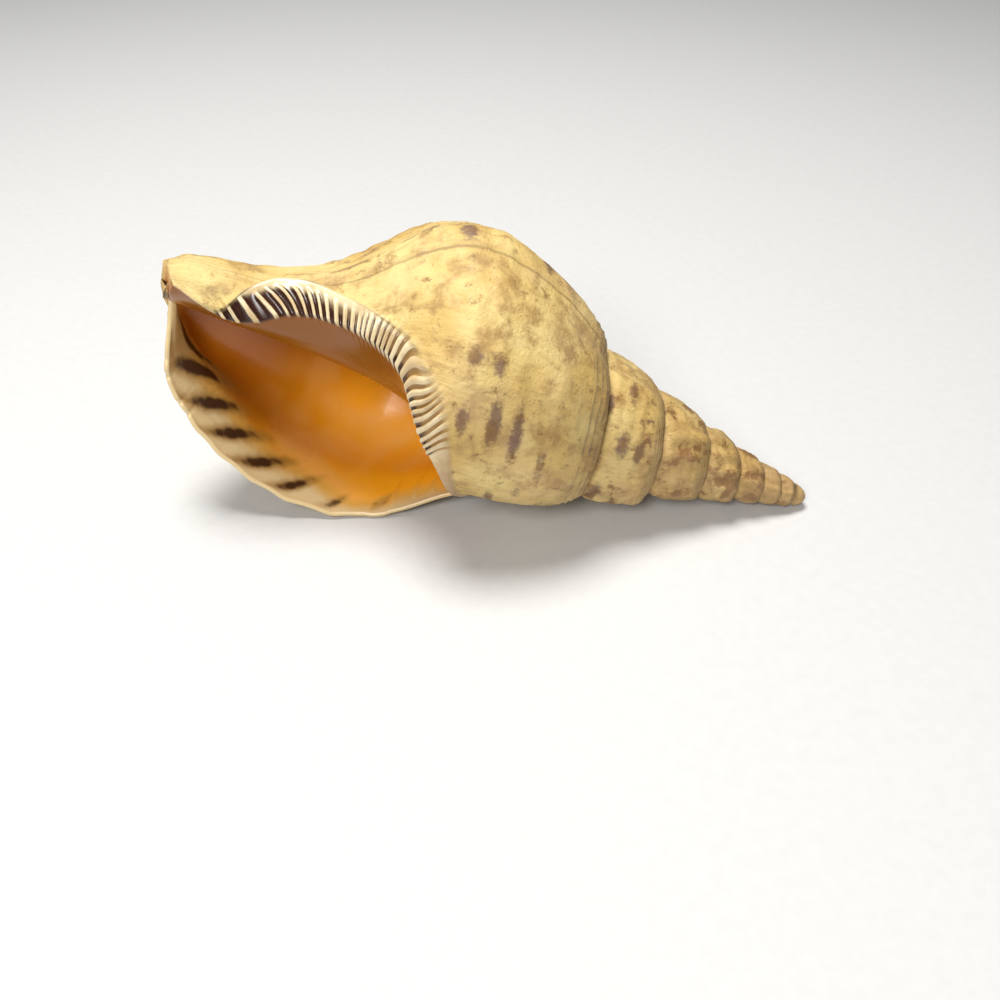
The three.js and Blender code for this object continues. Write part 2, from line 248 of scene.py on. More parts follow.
def weathered(turn, row):
    """Ribs, growth ridges, knobs and worn lumps of the outside."""
    spot = rows_in_mm(turn, row)
    size = np.exp(0.8 * SEAM["grow_along"] * np.minimum(turn, 0))
    worn = smooth(0.55 + 0.6 * lumps(spot, 45, 3))
    front = smooth((np.abs(turn + 0.8) - 0.12) / 0.2) * 0.7 + 0.3
    fine = np.where(row < 0.33, 1, front)
    relief = -1.3 * rib_grooves(turn, row) * (0.45 + 0.55 * worn) * fine
    relief = relief - 0.9 * rib_grooves(turn, row) * (row < 0.33)
    growth = lumps(np.stack([turn * 100, row * 1.5], -1), 5.5, 5)
    relief = relief + 0.3 * growth * (1.2 - worn)
    folds = lumps(np.stack([turn * 100, row * 3], -1), 11, 6)
    relief = relief + 0.4 * folds * smooth((0.75 - row) * 3)
    knobs = np.cos(2 * np.pi * 13 * turn + 2 * row) * bell((row - 0.5) / 0.3)
    relief = relief + 0.9 * knobs * smooth((-1.9 - turn) / 0.8)
    relief = relief + 0.34 * lumps(spot, 17, 7) + 0.2 * lumps(spot, 6.5, 8)
    old = smooth((-1.2 - turn) / 1.5)
    relief = relief + old * (0.6 * lumps(spot, 5.2, 10) + 0.5 * lumps(spot, 8, 11))
    relief = relief + 0.09 * lumps(spot, 3.1, 9)
    return relief * size


def beaded_cord(turn, row):
    """Crimped cord that edges each whorl along its upper seam."""
    beads = 0.5 + 0.5 * np.sin(2 * np.pi * 62 * turn)
    return (0.35 + 0.35 * beads) * bell((row - 0.016) / 0.008) * np.exp(0.3 * turn)


def seam_dip(turn, row):
    whorl_end = bell((1 - row) / 0.02) * smooth((-0.97 - turn) * 30)
    return 0.8 * np.exp(0.3 * turn) * (bell(row / 0.014) + whorl_end)


def callus_width(row):
    return curve(CALLUS_WIDTH, row)


def callus_here(row, distance):
    """1 on the callus, 0 past its margin."""
    return smooth((callus_width(row) - distance) / curve(CALLUS_FADE, row))


def tooth_number(row, distance):
    """Number of the tooth here, counted from the canal; whole numbers are crests."""
    straight = row - curve(TOOTH_SLANT, row) * np.maximum(distance, 0)
    past = np.maximum(0, TOOTH_COUNT[0][0] - straight) * 50
    before = np.minimum(0, TOOTH_COUNT[-1][0] - straight) * 30
    return curve(TOOTH_COUNT, straight) + past + before


def tooth_share(row, distance):
    """Distance from the mouth's edge as a share of the tooth's length there."""
    return distance / curve(TOOTH_LENGTH, row)


def teeth(row, distance):
    number = tooth_number(row, distance)
    present = smooth((number + 0.6) * 2) * smooth((31.6 - number) * 2)
    crest = 0.5 + 0.5 * np.cos(2 * np.pi * number)
    narrow = mix(1.8, 0.8, smooth((number - 4) / 20))
    share = tooth_share(row, distance)
    reach = smooth((1.1 - share) * 1.8) * smooth((share + 0.6) * 2)
    return TOOTH_HEIGHT * present * reach * (crest ** narrow - 0.35)


def inner_lip(row, distance, toothed):
    """Callus, its raised outer margin and the teeth on it."""
    width = callus_width(row)
    pad = CALLUS_THICK * smooth((width - distance) / (1 + curve(CALLUS_FADE, row)))
    margin = 0.9 * bell((distance - 0.9 * width) / 1.3) * smooth((row - 1.42) * 6)
    shade_in = smooth((row - 1) * 20)
    return (pad + margin * smooth((2 - row) * 12)) * shade_in + toothed * teeth(row, distance)


def lip_wear(row, out, behind):
    """Turn by which the lip's edge is set back: scallops, nicks and a jagged corner."""
    scallop = -0.4 * flute_at(row)
    nicks = 0.9 * sum(bell((row - at) / 0.006) for at in (1.905, 1.87, 1.79, 1.745))
    jag = np.abs(np.sin(row * 140)) * 1.3 + np.sin(row * 61)
    corner = 1.0 * smooth((row - 1.9) / 0.06) * (0.7 + 0.3 * jag)
    return -(scallop + nicks + corner) * np.exp(-behind / 0.012) / (2 * np.pi * out)


def flute_at(row):
    """1 in the middle of each blotch's flute along the lip, 0 between."""
    return sum(bell((row - blotch[0]) / (1.3 * blotch[3])) for blotch in LIP_BLOTCHES)


def lip_flute(row, behind):
    """Shallow flutes of the lip, as a shift of the whole wall."""
    return LIP_FLUTE_HEIGHT * flute_at(row) * np.exp(-behind / 0.035)


def outer_point(nominal, row, toothed=1.0):
    """Outer surface at a nominal turn, sheared so that turn -1 is the mouth's inner edge."""
    shear = (edge_turn(row) + 1) * smooth(-nominal / 0.6)
    turn = nominal + shear
    out = plain_sheet(turn, row)[1]
    distance = np.where((nominal >= -1) & (row > 1), (turn - edge_turn(row)) * 2 * np.pi * out, FAR)
    on_callus = callus_here(np.maximum(row, 1), distance)
    edges = smooth(row * 14) * np.where(turn <= -1, smooth((1 - row) * 14), 1)
    rough = weathered(turn, row) * edges * (1 - on_callus) * smooth(-nominal / 0.01 + 0.2)
    lift = varix(turn, row) * (1 - on_callus) + rough + beaded_cord(turn, row)
    lift = lift - seam_dip(turn, row) + lip_flute(row, -nominal)
    callus = inner_lip(np.maximum(row, 1), distance, toothed)
    lift = lift + np.where(distance < INNER_LIP_REACH, callus, 0)
    along, out = raised(turn, row, lift)
    turn = turn + lip_wear(row, out, -nominal)
    return along, out, turn, distance


def wall_inside(depth, row):
    """Inside of the outer wall, a share of a turn behind the lip."""
    reached = np.where(row <= 1, row, 1 + (row - 1) * canal_reach(depth))
    thick = WALL * mix(RIM_SHARE, 1, smooth(depth / 0.02))
    thick = thick * np.where(row < 0.05, smooth(depth / 0.03), 1)
    pairs = lip_ridges(depth, row)
    along, out = raised(-depth, reached, lip_flute(row, depth) - thick - pairs)
    return along, out, -depth + lip_wear(row, out, depth)


def lip_ridges(depth, row):
    """Pairs of small ridges just inside the lower lip."""
    total = sum(bell((row - at) / 0.006) for at in LIP_RIDGES)
    return 0.8 * total * smooth((depth - 0.004) / 0.008) * smooth((0.036 - depth) / 0.012)


def columella_side(depth, row):
    """Columella side of the mouth, from the inner edge round into the shell."""
    reached = np.where(row <= 1, row, 1 + (row - 1) * canal_reach(depth))
    toothed = 1 - smooth(depth / TEETH_RUN_IN)
    along, out, turn, _ = outer_point(np.full_like(row, -1.0), reached, toothed)
    if depth == 0:
        return along, out, turn
    corner_along, corner_out, _ = wall_inside(depth, np.zeros(1))
    core_along, core_out = curve(COLUMELLA, reached), curve(COLUMELLA, reached, 2)
    near = 1 - smooth((reached - 1) / 0.3)
    inside = smooth(depth / 0.1) ** 0.6
    shift_along = corner_along - COLUMELLA[0][1]
    shift_out = corner_out - COLUMELLA[0][2]
    deep_out = core_out * np.exp(-SEAM["grow_along"] * depth)
    along = mix(along, mix(core_along, core_along + shift_along, near), inside)
    out = mix(out, mix(deep_out, core_out + shift_out, near), inside)
    return along, out, mix(turn, -1, smooth(depth / 0.3)) - depth


# ---- colour fields, worked out for each point and sharpened by the material ----
# Purple-brown spots on the last two whorls: turn, row, half length in turns, in rows, strength.
SPOTS = [(-0.673, 1.128, 0.012, 0.040, 1.0), (-0.670, 1.016, 0.012, 0.040, 1.0),
         (-0.743, 1.132, 0.020, 0.030, 1.0), (-0.738, 0.984, 0.034, 0.050, 1.2),
         (-0.743, 0.812, 0.038, 0.045, 1.2), (-0.880, 0.900, 0.032, 0.038, 1.1),
         (-0.780, 0.560, 0.030, 0.040, 0.9), (-0.840, 0.690, 0.020, 0.040, 0.8),
         (-1.718, 0.700, 0.030, 0.080, 1.1), (-1.725, 0.452, 0.030, 0.080, 1.1),
         (-1.645, 0.956, 0.020, 0.070, 1.1), (-1.600, 0.640, 0.024, 0.070, 1.0),
         (-1.860, 0.820, 0.030, 0.080, 1.1), (-1.900, 0.560, 0.024, 0.070, 0.9),
         (-0.490, 1.340, 0.016, 0.040, 1.1), (-0.520, 1.190, 0.016, 0.040, 1.1),
         (-0.515, 0.690, 0.016, 0.050, 1.0)]
PIGMENT_ROWS = [0.36, 0.5, 0.67, 0.85, 1.02, 1.165, 1.29, 1.41, 1.51, 1.6]
PIGMENT_PER_WHORL = 17


def crescents(turn, row):
    """Rows of crescent marks that follow the spiral ribs, worn away on the front."""
    total = 0
    for k, middle in enumerate(PIGMENT_ROWS):
        v = (row - middle) / 0.075
        phase = turn * PIGMENT_PER_WHORL + 0.37 * k + 0.25 * np.sin(23 * turn + 5 * k)
        bent = phase + 0.22 * v * v
        mark = smooth(np.cos(2 * np.pi * bent) * 1.6 - 0.45)
        total = total + mark * smooth(1.5 - 1.1 * np.abs(v))
    spot = rows_in_mm(turn, row)
    kept = smooth(0.75 + 0.75 * lumps(spot, 38, 21))
    front = smooth((np.abs(turn + 0.8) - 0.2) / 0.12)
    old = 1.3 * smooth((turn + 2.3) / 0.4)
    return total * kept * np.where(turn > -1.05, front, old)


def spots(turn, row):
    total = 0
    for at_turn, at_row, long, wide, strength in SPOTS:
        away = ((turn - at_turn) / long) ** 2 + ((row - at_row) / wide) ** 2
        total = total + strength * np.exp(-0.7 * away)
    return total


def lip_blotches(row, behind, spread):
    """Dark blotches inside the lip; a spread over 1 gives their wider golden halo."""
    total = 0
    for at, middle, long, wide, strength in LIP_BLOTCHES:
        u = behind - middle
        v = row - at + BLOTCH_LEAN * u
        total = total + strength * np.exp(-((u / long) ** 2 + (v / wide) ** 2) / spread ** 2)
    return total


# ---- mesh ----
COLUMNS_PER_WHORL = 176
ROWS_TO_SEAM = 32
CAVITY_RINGS = 40
APEX_RINGS = (0.92, 0.8, 0.62, 0.4, 0.2)
RIM_ANGLES = (0.2, 0.5, 0.8)
FINE_TURNS = 0.15          # how far round from the mouth's edge the rows are fine enough for teeth
FAR = 99                   # mark of a point that is nowhere near the mouth
INNER_LIP_REACH = 60       # the callus and teeth stay within this many mm of the edge
COLUMELLA_MARK = 40        # added to the mm behind the edge on the columella side


def steps(count, start, end, power=1):
    return start + (end - start) * np.linspace(0, 1, count + 1) ** power


SPIRE_ROWS = steps(ROWS_TO_SEAM, 0, 1, 1.3)
BASE_ROWS = steps(150, 1, 2, 1.15)
TOOTH_ROWS = np.concatenate([steps(30, 1, 1.2)[:-1], steps(270, 1.2, 1.92)[:-1],
                             steps(30, 1.92, 2)])
LIP_ROWS = np.concatenate([steps(150, 0, 1)[:-1], steps(150, 1, 2)])


class Column:
    """A run of numbered points across the shell, with the marks the material reads."""

    def __init__(self, numbers, marks):
        self.numbers, self.marks = np.asarray(numbers), marks

    def __len__(self):
        return len(self.numbers)


class Skin:
    """Collects points and faces, with marks for each corner of each face."""

    def __init__(self):
        self.points, self.faces, self.marks = [], [], []

    def add(self, along, out, turn):
        """Adds points, in the shell's own frame with x along the axis; gives their numbers."""
        along, out, turn = np.broadcast_arrays(*np.atleast_1d(along, out, turn))
        angle = turn * 2 * np.pi
        first = len(self.points)
        self.points.extend(np.stack([along, out * np.cos(angle), out * np.sin(angle)], -1))
        return np.arange(first, len(self.points))

    def face(self, *corners):
        """One face; each corner is a column and a place in it."""
        numbers = [int(column.numbers[i]) for column, i in corners]
        if len(set(numbers)) == len(numbers):
            self.faces.append(numbers)
            self.marks.extend(column.marks[i] for column, i in corners)

    def gap(self, a, b):
        return np.linalg.norm(self.points[a] - self.points[b])

    def strip(self, left, right):
        """Triangles between two columns of any lengths, closing the shorter diagonal."""
        i = j = 0
        while i < len(left) - 1 or j < len(right) - 1:
            a, b = left.numbers, right.numbers
            over_left = self.gap(a[i + 1], b[j]) if i < len(left) - 1 else math.inf
            over_right = self.gap(a[i], b[j + 1]) if j < len(right) - 1 else math.inf
            if over_left <= over_right:
                self.face((left, i), (left, i + 1), (right, j))
                i += 1
            else:
                self.face((left, i), (right, j + 1), (right, j))
                j += 1

    def sheet(self, columns):
        """Surface through columns: quads where neighbours match, else a strip."""
        for right, left in zip(columns, columns[1:]):
            if len(left) != len(right):
                self.strip(left, right)
                continue
            for i in range(1, len(left)):
                self.quad(left, right, i)

    def quad(self, left, right, i):
        corners = [(left, i - 1), (left, i), (right, i), (right, i - 1)]
        numbers = [column.numbers[k] for column, k in corners]
        kept = [corner for k, corner in enumerate(corners) if numbers[k] != numbers[k - 1]]
        self.face(*kept)

    def fan(self, loop, centre):
        for i in range(len(loop)):
            self.face((loop, i), (loop, (i + 1) % len(loop)), (centre, 0))


def marks_for(turn, row, tooth=FAR, share=FAR, behind=FAR, inside=0.0, pigment=0.0, groove_seam_shade_and_halo=0.0,
              callus=0.0):
    """Marks of points: where they are, how near the mouth, and their colour fields."""
    fields = (turn, row, tooth, share, behind, inside, pigment, groove_seam_shade_and_halo, callus)
    return np.stack(np.broadcast_arrays(*(np.asarray(f, float) for f in fields)), -1)


def outer_column(skin, nominal, rows, first=None):
    """Column of the outer surface; its first point may be one that is already there."""
    nominal = np.full_like(rows, nominal)
    along, out, turn, distance = outer_point(nominal, rows)
    if first is None:
        numbers = skin.add(along, out, turn)
    else:
        numbers = np.concatenate([[first], skin.add(along[1:], out[1:], turn[1:])])
    low = np.maximum(rows, 1)
    near = distance < INNER_LIP_REACH
    marks = marks_for(
        turn, rows,
        tooth=np.where(near, tooth_number(low, distance), FAR),
        share=np.where(near, tooth_share(low, distance), FAR),
        pigment=crescents(turn, rows) * 0.8 + spots(turn, rows),
        # Darkens the fine grooves by the seam, and paints shade along the seam itself.
        groove_seam_shade_and_halo=2.5 * rib_grooves(turn, rows) * (rows < DARK_GROOVES_TO_ROW) + 2 * seam_dip(turn, rows),
        callus=np.where(near, callus_here(low, distance), 0),
    )
    return Column(numbers, marks)


def turns_of_columns():
    """Turn of each column of the outer skin, closer together around whole turns."""
    even = steps(round(-APEX_TURN * COLUMNS_PER_WHORL), APEX_TURN, 0)
    return even - 0.55 * np.sin(2 * np.pi * even) / (2 * np.pi)


def outer_skin(skin):
    upper, lower = [], []
    for i, turn in enumerate(turns_of_columns()):
        above = i - COLUMNS_PER_WHORL
        first = upper[above].numbers[-1] if above >= 0 else None
        upper.append(outer_column(skin, turn, SPIRE_ROWS, first))
        if turn > -1 - 1e-9:
            rows = TOOTH_ROWS if turn < -1 + FINE_TURNS else BASE_ROWS
            lower.append(outer_column(skin, turn, rows, upper[-1].numbers[-1]))
    skin.sheet(upper)
    skin.sheet(lower)
    close_apex(skin, upper)
    return upper, lower


def close_apex(skin, upper):
    """Blunt worn start of the first whorl."""
    top = [column.numbers[0] for column in upper[:COLUMNS_PER_WHORL + 1]]
    numbers = [*upper[0].numbers[1:-1][::-1], *top][::-1]
    marks = marks_for(np.full(len(numbers) + 1, APEX_TURN), 0.5)
    edge = np.array([skin.points[i] for i in numbers])
    rings = [Column([*numbers, numbers[0]], marks)]
    for share in APEX_RINGS:
        ring = edge * (1, share, share)
        ring[:, 0] = mix(APEX["tip"], edge[:, 0], 1 - math.sqrt(1 - share ** 2))
        first = len(skin.points)
        skin.points.extend(ring)
        rings.append(Column([*range(first, len(skin.points)), first], marks))
    skin.sheet(rings[::-1])
    tip = Column(skin.add(APEX["tip"], 0, 0), marks)
    skin.fan(Column(rings[-1].numbers[:-1], marks), tip)


def wall_column(skin, depth, first=None):
    rows = LIP_ROWS if depth < 0.06 else np.concatenate([SPIRE_ROWS[:-1], BASE_ROWS])
    along, out, turn = wall_inside(depth, rows)
    numbers = skin.add(along, out, turn) if first is None else np.concatenate(
        [[first], skin.add(along[1:], out[1:], turn[1:])])
    behind = depth * 2 * np.pi * out
    dark = lip_blotches(rows, behind, 1)
    halo = lip_blotches(rows, behind, 1.7)
    # Inside the lip the same field carries the blotches' golden halo.
    marks = marks_for(turn, rows, behind=behind, inside=1, pigment=dark, groove_seam_shade_and_halo=halo)
    return Column(numbers, marks)


def core_column(skin, depth, wall):
    """Column of the columella side; it starts on the wall, and deep in it ends there too."""
    rows = TOOTH_ROWS if depth < 0.05 else BASE_ROWS
    along, out, turn = columella_side(depth, rows)
    numbers = skin.add(along[1:], out[1:], turn[1:])
    numbers = np.concatenate([[wall.numbers[0]], numbers])
    if depth > CANAL_DEPTH:
        numbers[-1] = wall.numbers[-1]
    inward = -depth * 2 * np.pi * 20
    marks = marks_for(turn, rows, tooth=tooth_number(rows, 0 * rows),
                      share=tooth_share(rows, inward), behind=COLUMELLA_MARK - inward, inside=1)
    return Column(numbers, marks)


def rim_columns(skin, lip):
    """Rounded edge of the outer lip, between the outer skin's last column and the inside."""
    rows = lip.marks[:, 1]
    columns = []
    for angle in RIM_ANGLES:
        inward = RIM_SHARE * WALL * (1 - math.cos(math.pi * angle)) / 2
        ahead = 0.7 * math.sin(math.pi * angle)
        along, out = raised(0 * rows, rows, lip_flute(row=rows, behind=0) - inward)
        turn = ahead / (2 * np.pi * out) + lip_wear(rows, out, 0)
        numbers = np.concatenate([[lip.numbers[0]], skin.add(along[1:], out[1:], turn[1:])])
        columns.append(Column(numbers, marks_for(turn, rows, behind=0, inside=1)))
    return columns


def mouth_skin(skin, upper, lower):
    """Lip's edge, inside wall, columella side, end of the canal and the deep end."""
    lip_numbers = np.concatenate([upper[-1].numbers, lower[-1].numbers[1:]])
    lip = Column(lip_numbers, np.concatenate([upper[-1].marks, lower[-1].marks[1:]]))
    walls, cores = [], []
    for depth in steps(CAVITY_RINGS, 0, CAVITY_DEPTH, 1.5):
        wall = wall_column(skin, depth, lip.numbers[0] if depth == 0 else None)
        walls.append(wall)
        cores.append(inner_edge_column(lower[0]) if depth == 0 else core_column(skin, depth, wall))
    rim = rim_columns(skin, lip)
    skin.sheet([lip, *rim, *walls])
    skin.sheet(cores[::-1])
    end_face(skin, lower, walls, cores, rim)
    close_deep_end(skin, walls[-1], cores[-1])


def inner_edge_column(edge):
    """The mouth's inner edge, marked as the start of the inside."""
    marks = edge.marks.copy()
    marks[:, 4:9] = (COLUMELLA_MARK, 1, 0, 0, 0)
    return Column(edge.numbers, marks)


def end_face(skin, lower, walls, cores, rim):
    """End of the canal: between the outer skin's last row and the open trough."""
    is_open = [wall.numbers[-1] != core.numbers[-1] for wall, core in zip(walls, cores)]
    count = is_open.index(False)
    outside = [column.numbers[-1] for column in lower][::-1]
    trough = [column.numbers[-1] for column in [*rim, *walls[:count + 1], *cores[:count][::-1]]]
    marks = marks_for(np.zeros(len(outside)), 2)
    floor = marks_for(np.zeros(len(trough)), 2, behind=20, inside=1)
    skin.strip(Column(trough, floor), Column(outside, marks))


def close_deep_end(skin, wall, core):
    past = CAVITY_DEPTH + DEEP_END_ROUNDING
    a, b = wall_inside(past, np.array([0.8])), columella_side(past, np.array([1.3]))
    centre = skin.add((a[0] + b[0]) / 2, (a[1] + b[1]) / 2, -past)
    numbers = [*wall.numbers, *core.numbers[1:-1][::-1]]
    marks = marks_for(np.full(len(numbers), -past), 1, behind=150, inside=1)
    skin.fan(Column(numbers[::-1], marks), Column(centre, marks))


def laid_down(points):
    """Turns the points from the shell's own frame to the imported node's place, in metres."""
    roll, tilt = math.radians(REST_ROLL - 90), math.radians(-REST_TILT)
    x, y, z = points.T
    y, z = y * math.cos(roll) - z * math.sin(roll), y * math.sin(roll) + z * math.cos(roll)
    x, z = x * math.cos(tilt) + z * math.sin(tilt), z * math.cos(tilt) - x * math.sin(tilt)
    turned = np.stack([-x, -y, z], -1) * MM
    low, high = (np.array(corner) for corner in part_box("shell"))
    centre = (turned.min(0) + turned.max(0)) / 2
    move = (low + high) / 2 - centre
    move[2] = low[2] - turned[:, 2].min()
    return turned + move


def shell_mesh():
    skin = Skin()
    mouth_skin(skin, *outer_skin(skin))
    mesh = bpy.data.meshes.new("shell")
    mesh.from_pydata(laid_down(np.array(skin.points)).tolist(), [], skin.faces)
    marks = np.array(skin.marks)
    for k, name in enumerate(("place", "mouth", "colour")):
        layer = mesh.attributes.new(name, "FLOAT_VECTOR", "CORNER")
        layer.data.foreach_set("vector", marks[:, 3 * k:3 * k + 3].ravel())
    mesh.shade_smooth()
    return mesh


# ---- material ----
class Nodes:
    """Short calls that add shader nodes and link them; inputs are sockets or plain values."""

    def __init__(self, name):
        self.material = bpy.data.materials.new(name)
        self.material.use_nodes = True
        self.tree = self.material.node_tree
        self.shader = self.tree.nodes["Principled BSDF"]

    def node(self, kind, inputs=(), output=0, **settings):
        node = self.tree.nodes.new("ShaderNode" + kind)
        for name, value in settings.items():
            setattr(node, name, value)
        pairs = inputs.items() if isinstance(inputs, dict) else enumerate(inputs)
        for key, value in pairs:
            self.put(node.inputs[key], value)
        return node.outputs[output]

    def put(self, socket, value):
        if isinstance(value, bpy.types.NodeSocket):
            self.tree.links.new(value, socket)
        elif isinstance(value, tuple) and len(value) == 3 and socket.type == "RGBA":
            socket.default_value = (*value, 1)
        else:
            socket.default_value = value

    def math(self, operation, *inputs):
        return self.node("Math", inputs, operation=operation)

    def add(self, a, b):
        return self.math("ADD", a, b)

    def times(self, a, b):
        return self.math("MULTIPLY", a, b)

    def between(self, value, low, high, out_low=0.0, out_high=1.0):
        """Smooth step of a value from low to high."""
        inputs = {"Value": value, "From Min": low, "From Max": high, "To Min": out_low,
                  "To Max": out_high}
        return self.node("MapRange", inputs, interpolation_type="SMOOTHSTEP")

    def mix(self, factor, a, b, blend="MIX"):
        """Colour a turning to b as the factor goes from 0 to 1."""
        node = self.tree.nodes.new("ShaderNodeMix")
        node.data_type, node.blend_type = "RGBA", blend
        for key, value in ((0, factor), (6, a), (7, b)):
            self.put(node.inputs[key], value)
        return node.outputs[2]

    def noise(self, vector, size, detail=3.0, roughness=0.55):
        """Noise about 0.5 with features of the given size, in the vector's own units."""
        inputs = {"Vector": vector, "Scale": 1 / size, "Detail": detail, "Roughness": roughness}
        return self.node("TexNoise", inputs, noise_dimensions="3D")

    def cells(self, vector, size):
        """Distance to the nearest of scattered points about one size apart."""
        return self.node("TexVoronoi", {"Vector": vector, "Scale": 1 / size})

    def split(self, name):
        vector = self.node("Attribute", output="Vector", attribute_name=name)
        node = self.tree.nodes.new("ShaderNodeSeparateXYZ")
        self.tree.links.new(vector, node.inputs[0])
        return node.outputs[:3]

    def join(self, x, y, z=0.0):
        return self.node("CombineXYZ", (x, y, z))


class ShellPaint:
    """The shell's colour, gloss and fine relief, from the marks on its mesh."""

    def __init__(self):
        n = self.n = Nodes("shell")
        self.turn, self.row, self.tooth = n.split("place")
        self.share, self.behind, self.inside = n.split("mouth")
        self.pigment, self.groove_seam_shade_and_halo, self.callus = n.split("colour")
        place = n.node("TexCoord", output="Object")
        self.spot = n.node("VectorMath", {"Vector": place, "Scale": 1 / MM}, operation="SCALE")
        self.growth = n.join(n.times(self.turn, 60), n.times(self.row, 3))

    def outside(self):
        """Worn cream and straw, stained tan, browner up the spire, with specks and pigment."""
        n = self.n
        cloud = n.noise(self.spot, 22, 3)
        colour = n.mix(n.between(cloud, 0.35, 0.65), STRAW, CREAM)
        stain = n.noise(self.spot, 9, 5, 0.62)
        colour = n.mix(n.between(stain, 0.47, 0.68, 0, 0.75), colour, TAN)
        growth = n.noise(self.growth, 1, 2)
        colour = n.mix(n.between(growth, 0.52, 0.75, 0, 0.45), colour, TAN)
        old = n.between(self.turn, -0.9, -3.2, 0, 0.62)
        colour = n.mix(n.times(old, n.between(n.noise(self.spot, 14, 3), 0.3, 0.6, 0.5, 1.0)),
                       colour, TAN)
        patch = n.between(n.noise(self.spot, 6.5, 4, 0.6), 0.52, 0.62, 0, 0.85)
        colour = n.mix(n.times(patch, n.between(self.turn, -1.6, -2.3)), colour, RUST)
        near_seam = n.times(n.between(self.row, 0.4, 0.05), n.between(stain, 0.3, 0.6, 0.25, 0.6))
        colour = n.mix(near_seam, colour, TAN)
        blush = n.noise(self.spot, 31, 2)
        colour = n.mix(n.between(blush, 0.5, 0.7, 0, 0.2), colour, BLUSH)
        rust = n.noise(self.spot, 5, 6, 0.7)
        colour = n.mix(n.between(rust, 0.56, 0.70, 0, 0.8), colour, RUST)
        # Darker in the fine grooves by the seam, and painted shade along the seam itself.
        dark_grooves_and_seam_shade = n.times(n.between(self.groove_seam_shade_and_halo, 0.2, 0.9), n.between(n.noise(self.spot, 6), 0.3, 0.6))
        colour = n.mix(n.times(dark_grooves_and_seam_shade, 0.9), colour, DARK_GROOVE_AND_SEAM_SHADE)
        crest = n.math("ABSOLUTE", n.add(self.turn, n.add(n.times(rust, 0.006), 0.542)))
        colour = n.mix(n.between(crest, 0.003, 0.001, 0, 0.4), colour, DARK_BROWN)
        ragged = n.add(self.pigment, n.times(n.add(n.noise(self.spot, 1.6, 4, 0.7), -0.5), 1.3))
        pigment = n.between(ragged, 0.30, 0.95, 0, 0.85)
        hue = n.between(n.noise(self.spot, 7), 0.4, 0.6)
        colour = n.mix(pigment, colour, n.mix(hue, PURPLE_BROWN, PIGMENT_BROWN))
        specks = n.between(n.cells(self.spot, 2.6), 0.13, 0.05)
        return n.mix(n.times(specks, n.between(stain, 0.45, 0.6, 0, 0.8)), colour, DARK_BROWN)

    def tooth_gap(self):
        """1 in the dark gaps between teeth; the gaps are widest at the canal end."""
        n = self.n
        wave = n.math("COSINE", n.times(self.tooth, 2 * math.pi))
        wander = n.times(n.add(n.noise(self.spot, 2.5), -0.5), 0.5)
        edge = n.between(self.tooth, 4, 14, 0.55, -0.25)
        gap = n.between(n.add(n.add(wave, wander), n.times(edge, -1)), 0.15, -0.15)
        fading = n.add(self.share, n.times(n.add(n.noise(self.spot, 4), -0.5), 0.5))
        ends = n.times(n.between(self.tooth, -0.6, -0.3), n.between(self.tooth, 31.7, 31.4))
        return n.times(gap, ends), fading

    def callus_colour(self):
        n = self.n
        colour = n.mix(n.between(n.noise(self.spot, 8), 0.35, 0.7), IVORY, BEIGE)
        colour = n.mix(n.between(self.row, 1.24, 1.12, 0, 0.8), colour, TAN)
        gap, fading = self.tooth_gap()
        gold = n.mix(n.between(self.tooth, 16, 26), DARK_BROWN, GOLD_BROWN)
        colour = n.mix(n.times(gap, n.between(fading, 1.05, 0.6, 0, 0.9)), colour, gold)
        dark_to = n.between(self.tooth, 4, 15, 1.0, 0.3)
        dark = n.math("SUBTRACT", dark_to, fading)
        colour = n.mix(n.times(gap, n.between(dark, 0.0, 0.3)), colour, NEAR_BLACK)
        return colour

    def inside_colour(self):
        """Cream lip with dark blotches, then gold and orange, and painted shade on the columella
        side under the teeth.
        """
        n = self.n
        drift = n.times(n.add(n.noise(self.spot, 12), -0.5), 7)
        far = n.add(n.add(self.behind, drift), n.between(self.row, 1.2, 0.9, 0, 5))
        orange = n.mix(n.between(self.row, 1.15, 1.75), ORANGE, BURNT)
        cloud = n.between(n.noise(self.spot, 26, 2), 0.4, 0.7)
        pale = n.times(cloud, n.between(self.row, 1.7, 1.35))
        orange = n.mix(n.times(pale, 0.5), orange, PEACH)
        colour = n.mix(n.between(far, 7.5, 13), GOLD, orange)
        colour = n.mix(n.between(far, 4.5, 9), LIP_CREAM, colour)
        # Painted shade on the columella side just under the teeth, deeper towards the canal.
        painted_shade_under_teeth = n.times(n.between(self.tooth, 60, 50), n.between(far, 66, 44))
        colour = n.mix(painted_shade_under_teeth, colour, n.mix(n.between(self.row, 1.4, 1.6), SHADE_UNDER_TEETH, DEEPER_SHADE_UNDER_TEETH))
        halo = n.add(self.groove_seam_shade_and_halo, n.times(n.add(n.noise(self.spot, 3), -0.5), 0.3))
        colour = n.mix(n.between(halo, 0.3, 0.9, 0, 0.8), colour, GOLD_BROWN)
        dark = n.add(self.pigment, n.times(n.add(n.noise(self.spot, 3), -0.5), 0.35))
        return n.mix(n.between(dark, 0.35, 0.8, 0, 0.95), colour, NEAR_BLACK)

    def colour(self):
        n = self.n
        glazed = self.callus_colour()
        outside = n.mix(self.callus, self.outside(), glazed)
        edge = n.times(n.between(self.share, -0.16, -0.03), n.between(self.share, 50, 20))
        inner = n.mix(edge, self.inside_colour(), glazed)
        return n.mix(self.inside, outside, inner)

    def glaze(self):
        n = self.n
        return n.math("MAXIMUM", self.inside, self.callus)

    def roughness(self):
        n = self.n
        worn = n.between(n.noise(self.spot, 3, 5), 0.3, 0.7, 0.48, 0.72)
        glossy = n.between(n.noise(self.spot, 9), 0.3, 0.7, 0.16, 0.28)
        return n.node("MapRange", {"Value": self.glaze(), "To Min": worn, "To Max": glossy})

